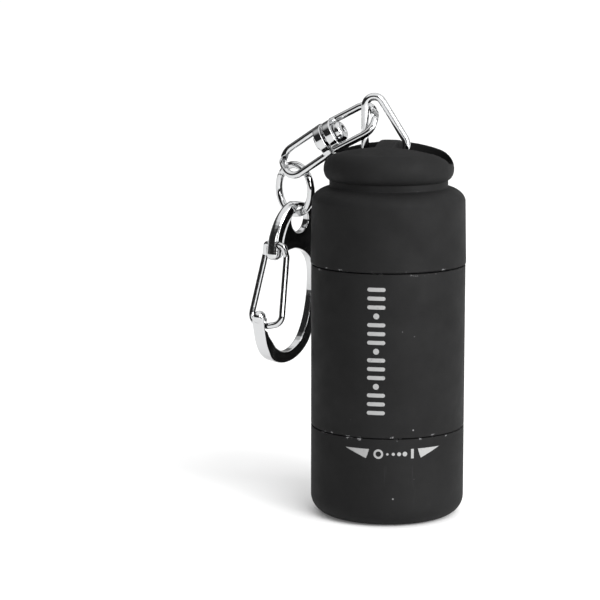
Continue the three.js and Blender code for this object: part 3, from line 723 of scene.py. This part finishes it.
# ---- Materials ---------------------------------------------------------------------------
class Look:
    """A Principled material with a short way to add and join nodes."""

    def __init__(self, name, **sockets):
        self.material = bpy.data.materials.new(name)
        self.material.use_nodes = True
        self.tree = self.material.node_tree
        self.shader = self.tree.nodes["Principled BSDF"]
        for key, value in sockets.items():
            self.shader.inputs[key.replace("_", " ")].default_value = value
        self.place = self.tree.nodes.new("ShaderNodeTexCoord").outputs["Object"]

    def node(self, kind, settings=None, **inputs):
        made = self.tree.nodes.new("ShaderNode" + kind)
        for key, value in (settings or {}).items():
            setattr(made, key, value)
        for key, value in inputs.items():
            socket = made.inputs[int(key[1:])] if key[0] == "i" and key[1:].isdigit() \
                else made.inputs[key.replace("_", " ")]
            if isinstance(value, bpy.types.NodeSocket):
                self.tree.links.new(value, socket)
            else:
                socket.default_value = value
        return made

    def stretched(self, x, y, z):
        return self.node("Mapping", Vector=self.place, Scale=(x, y, z)).outputs[0]

    def noise(self, scale, detail=3.0, rough=0.55, at=None):
        return self.node("TexNoise", Vector=at or self.place, Scale=scale, Detail=detail,
                         Roughness=rough).outputs["Fac"]

    def cells(self, scale, at=None, feature="F1"):
        return self.node("TexVoronoi", {"feature": feature}, Vector=at or self.place, Scale=scale)

    def ramp(self, value, low, high, out_low=0.0, out_high=1.0):
        return self.node("MapRange", Value=value, From_Min=low, From_Max=high, To_Min=out_low,
                         To_Max=out_high).outputs[0]

    def math(self, operation, a, b=0.0):
        return self.node("Math", {"operation": operation}, i0=a, i1=b).outputs[0]

    def axis(self, name):
        return self.node("SeparateXYZ", Vector=self.place).outputs[name]

    def blend(self, share, a, b):
        return self.node("Mix", {"data_type": "RGBA"}, i0=share, i6=a, i7=b).outputs[2]

    def bump(self, height, strength, distance):
        made = self.node("Bump", Height=height, Strength=strength, Distance=distance)
        self.tree.links.new(made.outputs[0], self.shader.inputs["Normal"])

    def give(self, socket, value):
        self.tree.links.new(value, self.shader.inputs[socket])


def grey(level):
    return (level, level, level * 1.02, 1)


def soft_coat(name, seams, line=False):
    """Soft-touch black coat: fine grain, faint clouding, dust, light rubs and chipped seams."""
    look = Look(name, Roughness=0.6, Specular_IOR_Level=0.16)
    clouds = look.noise(140, 4)
    colour = look.blend(look.ramp(clouds, 0.35, 0.7), grey(0.0062), grey(0.0088))
    specks = look.cells(420)
    dust = look.math("MULTIPLY", look.ramp(specks.outputs["Distance"], 0.03, 0.055, 1, 0),
                     look.ramp(look.node("SeparateColor", Color=specks.outputs["Color"]).outputs[0],
                               0.93, 0.95))
    fine = look.cells(1500)
    grains = look.math("MULTIPLY", look.ramp(fine.outputs["Distance"], 0.05, 0.11, 1, 0),
                       look.ramp(look.node("SeparateColor", Color=fine.outputs["Color"]).outputs[1],
                                 0.86, 0.9))
    patches = look.ramp(look.noise(130, 2), 0.58, 0.68)
    rubs = look.ramp(look.noise(700, 3, 0.6, look.stretched(1, 1, 0.1)), 0.66, 0.74)
    marks = look.math("MAXIMUM", dust, look.math("MULTIPLY", look.math(
        "MAXIMUM", look.math("MULTIPLY", grains, 0.5), look.math("MULTIPLY", rubs, 0.06)), patches))
    z = look.axis("Z")
    for seam in seams:
        away = look.math("ABSOLUTE", look.math("SUBTRACT", z, seam * MM))
        near = look.ramp(away, 0.16 * MM, 0.3 * MM, 1, 0)
        chips = look.ramp(look.noise(800, 5, 0.75), 0.585, 0.63)
        marks = look.math("MAXIMUM", marks, look.math("MULTIPLY", near, chips))
    colour = look.blend(marks, colour, grey(0.22))
    if line:
        across = look.math("ABSOLUTE", look.axis("X"))
        thin = look.ramp(across, 0.03 * MM, 0.11 * MM, 1, 0)
        front = look.ramp(look.axis("Y"), -5 * MM, -6 * MM)
        span = look.ramp(z, 43.6 * MM, 44.4 * MM)
        parting = look.math("MULTIPLY", look.math("MULTIPLY", thin, front), span)
        colour = look.blend(look.math("MULTIPLY", parting, 0.5), colour, grey(0.008))
    look.give("Base Color", colour)
    look.give("Roughness", look.ramp(look.noise(300, 3), 0.3, 0.7, 0.66, 0.8))
    grain = look.math("ADD", look.noise(9000, 2), look.math("MULTIPLY", look.noise(1500, 3), 0.6))
    look.bump(grain, 0.25, 0.02 * MM)
    return look.material


def chrome(name, tint=(0.56, 0.565, 0.57, 1)):
    """Bright plating with faint smears, cast ripple and fine rub marks."""
    look = Look(name, Metallic=1.0, Base_Color=tint, Roughness=0.07)
    smears = look.ramp(look.noise(420, 4, 0.6), 0.35, 0.75, 0.045, 0.14)
    rub = look.ramp(look.noise(2600, 2, 0.5, look.stretched(1, 1, 0.12)), 0.5, 0.8, 0, 0.08)
    look.give("Roughness", look.math("ADD", smears, rub))
    look.bump(look.noise(800, 2), 0.06, 0.05 * MM)
    return look.material


def moulded(name, colour, roughness, grain=4000, depth=0.01, **more):
    look = Look(name, Roughness=roughness, **more)
    darker = tuple(c * 0.8 for c in colour[:3]) + (1,)
    look.give("Base Color", look.blend(look.ramp(look.noise(500, 3), 0.3, 0.7), darker, colour))
    look.bump(look.noise(grain, 2), 0.3, depth * MM)
    return look.material


def brushed(name, colour, roughness=0.3):
    look = Look(name, Metallic=1.0, Base_Color=colour, Roughness=roughness)
    lines = look.noise(5000, 2, 0.5, look.stretched(1, 1, 0.06))
    look.give("Roughness", look.ramp(lines, 0.3, 0.7, roughness - 0.08, roughness + 0.1))
    look.bump(lines, 0.03, 0.01 * MM)
    return look.material


def circuit_board(name):
    look = Look(name, Roughness=0.35)
    tracks = look.node("TexVoronoi", {"feature": "DISTANCE_TO_EDGE", "distance": "MANHATTAN"},
                       Vector=look.place, Scale=900.0).outputs["Distance"]
    copper = look.ramp(tracks, 0.05, 0.09, 1, 0)
    look.give("Base Color", look.blend(copper, (0.012, 0.11, 0.045, 1), (0.03, 0.2, 0.08, 1)))
    look.bump(copper, 0.3, 0.03 * MM)
    return look.material


def print_paint(name):
    look = Look(name, Roughness=0.5)
    worn = look.ramp(look.noise(2600, 3, 0.65), 0.62, 0.75)
    look.give("Base Color", look.blend(worn, (0.29, 0.29, 0.29, 1), (0.13, 0.13, 0.13, 1)))
    look.bump(look.noise(4000, 2), 0.2, 0.01 * MM)
    return look.material


def clear_lens(name):
    look = Look(name, Transmission_Weight=1.0, IOR=1.49, Base_Color=(0.95, 0.98, 1, 1))
    look.give("Roughness", look.ramp(look.noise(500, 4), 0.55, 0.8, 0.015, 0.09))
    return look.material


def foil(name):
    look = Look(name, Metallic=1.0, Base_Color=(0.6, 0.62, 0.66, 1))
    creases = look.noise(380, 5, 0.6)
    look.give("Roughness", look.ramp(creases, 0.3, 0.7, 0.25, 0.42))
    look.bump(creases, 0.5, 0.08 * MM)
    return look.material


MATERIALS = {
    "rubber_coat": soft_coat("soft_coat_barrel", [BARREL_BOTTOM, BARREL_TOP]),
    "chrome_wire": chrome("chrome_plate"),
    "lens_clear": clear_lens("clear_lens"),
    "reflector_mirror": chrome("metallised_bowl", (0.9, 0.91, 0.92, 1)),
    "seal_rubber": moulded("seal_rubber", (0.014, 0.014, 0.015, 1), 0.45),
    "board_green": circuit_board("board_mask"),
    "black_plastic": moulded("black_plastic", (0.022, 0.022, 0.024, 1), 0.45, 2500, 0.03),
    "white_plastic": moulded("white_plastic", (0.8, 0.8, 0.77, 1), 0.35),
    "phosphor": moulded("phosphor", (0.85, 0.66, 0.1, 1), 0.3, Coat_Weight=0.6),
    "nickel": brushed("nickel_strip", (0.58, 0.57, 0.55, 1)),
    "gold_contact": brushed("gold_contact", (0.83, 0.6, 0.24, 1), 0.22),
    "cell_foil": foil("cell_foil"),
    "plug_steel": brushed("plug_steel", (0.5, 0.5, 0.49, 1), 0.3),
}
HEAD_COAT = soft_coat("soft_coat_head", [HEAD_TOP])
CAP_COAT = soft_coat("soft_coat_cap", [CAP_FOOT], line=True)
PAINT = print_paint("print_paint")


def dress(made, slot, body, node=None, material=None):
    """Gives a new piece its material, taken from its slot unless one is given, puts it on its body, and
    hides the CAD node that it stands for.
    """
    made.data.materials.clear()
    made.data.materials.append(material or MATERIALS[slot])
    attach(made, body)
    if node:
        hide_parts(node)


def dress_cad_nodes(shown):
    """The inner pieces keep their CAD solids, with broken edges and real finishes."""
    slots = {part["node"]: part["material_slot"] for part in frame["record"]["subparts"]}
    for name in shown:
        node = frame["nodes"][name]
        node.data.materials.clear()
        node.data.materials.append(MATERIALS[slots[name]])
        low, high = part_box(name)
        edge = node.modifiers.new("broken_edges", "BEVEL")
        edge.width = min(0.12 * MM, 0.2 * min(high - low))
        edge.segments = 2
        edge.limit_method = "ANGLE"
        edge.angle_limit = math.radians(40)


# ---- The object --------------------------------------------------------------------------
dress(head_shell(), "rubber_coat", "head", "head_shell", HEAD_COAT)
dress(lens(), "lens_clear", "head", "lens")
dress(reflector(), "reflector_mirror", "head", "reflector")
dress(head_marks(), "rubber_coat", "head", material=PAINT)
dress(barrel_shell(), "rubber_coat", "barrel", "barrel_shell")
dress(barrel_marks(), "rubber_coat", "barrel", material=PAINT)
dress(seal("head_seal_ring", "head_seal"), "seal_rubber", "barrel", "head_seal_ring")
dress(seal("tail_seal_ring", "tail_seal"), "seal_rubber", "tail_cap", "tail_seal_ring")
dress(shaped("tail_cap", cap_field, voxel=0.16), "rubber_coat", "tail_cap", "tail_cap", CAP_COAT)
dress(bail(), "chrome_wire", "bail", "bail")
dress(shaped("swivel_link_upper", UPPER_LINK, SWIVEL, 0.1),
      "chrome_wire", "link_upper", "swivel_link_upper")
dress(swivel_rivet(), "chrome_wire", "link_upper", "swivel_rivet")
dress(shaped("swivel_link_lower", LOWER_LINK, SWIVEL @ Matrix.Rotation(math.pi, 4, "Z"), 0.1),
      "chrome_wire", "link_lower", "swivel_link_lower")
dress(jump_ring(), "chrome_wire", "ring", "jump_ring")
dress(shaped("clasp_body", clasp_field, CLASP, 0.11), "chrome_wire", "clasp", "clasp_body")
dress(clasp_gate(), "chrome_wire", "gate", "clasp_gate")
dress_cad_nodes(sorted(name for name, node in frame["nodes"].items() if not node.hide_render))


# ---- Studio ------------------------------------------------------------------------------
def floor():
    """A plain white floor, just under the torch, that reaches past every view."""
    size = 9.0
    low = cad_low.z - 0.02 * MM
    mesh = bpy.data.meshes.new("floor")
    mesh.from_pydata([(-size, -size, low), (size, -size, low), (size, size, low), (-size, size, low)],
                     [], [(0, 1, 2, 3)])
    made = bpy.data.objects.new("floor", mesh)
    bpy.context.scene.collection.objects.link(made)
    look = Look("floor_white", Roughness=0.75, Base_Color=(0.85, 0.85, 0.85, 1),
                Specular_IOR_Level=0.1, Emission_Color=(1, 1, 1, 1), Emission_Strength=0.1)
    made.data.materials.append(look.material)


def softbox(name, place, aim, width, height, power):
    light = bpy.data.lights.new(name, "AREA")
    light.shape = "RECTANGLE"
    light.size = width
    light.size_y = height
    light.energy = power
    made = bpy.data.objects.new(name, light)
    made.location = place
    made.rotation_mode = "QUATERNION"
    made.rotation_quaternion = (Vector(aim) - Vector(place)).to_track_quat("-Z", "Y")
    bpy.context.scene.collection.objects.link(made)


def key_light(towards, strength, spread):
    """A big soft lamp far off, so that it lights the whole floor evenly."""
    light = bpy.data.lights.new("key", "SUN")
    light.energy = strength
    light.angle = math.radians(spread)
    made = bpy.data.objects.new("key", light)
    made.rotation_mode = "QUATERNION"
    made.rotation_quaternion = Vector(towards).to_track_quat("Z", "Y")
    bpy.context.scene.collection.objects.link(made)


def surroundings():
    """A white sweep behind and an open ceiling light, with the darker room on the camera's side."""
    world = bpy.data.worlds.new("studio")
    world.use_nodes = True
    tree = world.node_tree
    back = tree.nodes["Background"]
    back.inputs["Color"].default_value = (1, 1, 1, 1)
    split = tree.nodes.new("ShaderNodeSeparateXYZ")
    place = tree.nodes.new("ShaderNodeTexCoord")
    tree.links.new(place.outputs["Generated"], split.inputs[0])

    def band(axis, start, stop, level):
        ramp = tree.nodes.new("ShaderNodeMapRange")
        ramp.interpolation_type = "SMOOTHSTEP"
        ramp.inputs["From Min"].default_value = start
        ramp.inputs["From Max"].default_value = stop
        ramp.inputs["To Min"].default_value = 0
        ramp.inputs["To Max"].default_value = level
        tree.links.new(split.outputs[axis], ramp.inputs["Value"])
        return ramp.outputs[0]

    def both(operation, a, b):
        made = tree.nodes.new("ShaderNodeMath")
        made.operation = operation
        for socket, value in zip(made.inputs, (a, b)):
            if isinstance(value, float):
                socket.default_value = value
            else:
                tree.links.new(value, socket)
        return made.outputs[0]

    sweep_side = both("ADD", band("X", -0.6, 0.7, 0.85), 0.1)
    level = both("MULTIPLY", band("Y", 0.0, 0.35, 1.0), sweep_side)
    level = both("MAXIMUM", level, band("Z", 0.5, 0.75, 1.25))
    tree.links.new(both("MAXIMUM", level, 0.03), back.inputs["Strength"])
    bpy.context.scene.world = world


def camera():
    """A long lens, low and a little to the right of the torch's front."""
    place = Vector((46.93, -296.31, 76.4)) * MM
    towards = Vector((-0.19104, 0.96836, -0.16057))
    data = bpy.data.cameras.new("camera")
    data.sensor_width = 36
    data.lens = 141.34
    data.shift_x = -0.0005
    data.shift_y = 0.00167
    data.clip_start = 0.01
    data.clip_end = 50
    made = bpy.data.objects.new("camera", data)
    made.location = place
    made.rotation_mode = "QUATERNION"
    made.rotation_quaternion = towards.to_track_quat("-Z", "Y")
    bpy.context.scene.collection.objects.link(made)
    bpy.context.scene.camera = made


floor()
surroundings()
key_light((0.446, -0.594, 0.669), 1.5, 32)
softbox("right_panel", (0.60, -0.34, 0.26), MIDDLE, 0.45, 0.45, 5.3)
softbox("front_fill", (0.20, -0.80, 0.30), MIDDLE, 0.30, 0.20, 0.7)
bpy.context.scene.view_settings.view_transform = "Standard"
camera()

bpy.context.view_layer.update()
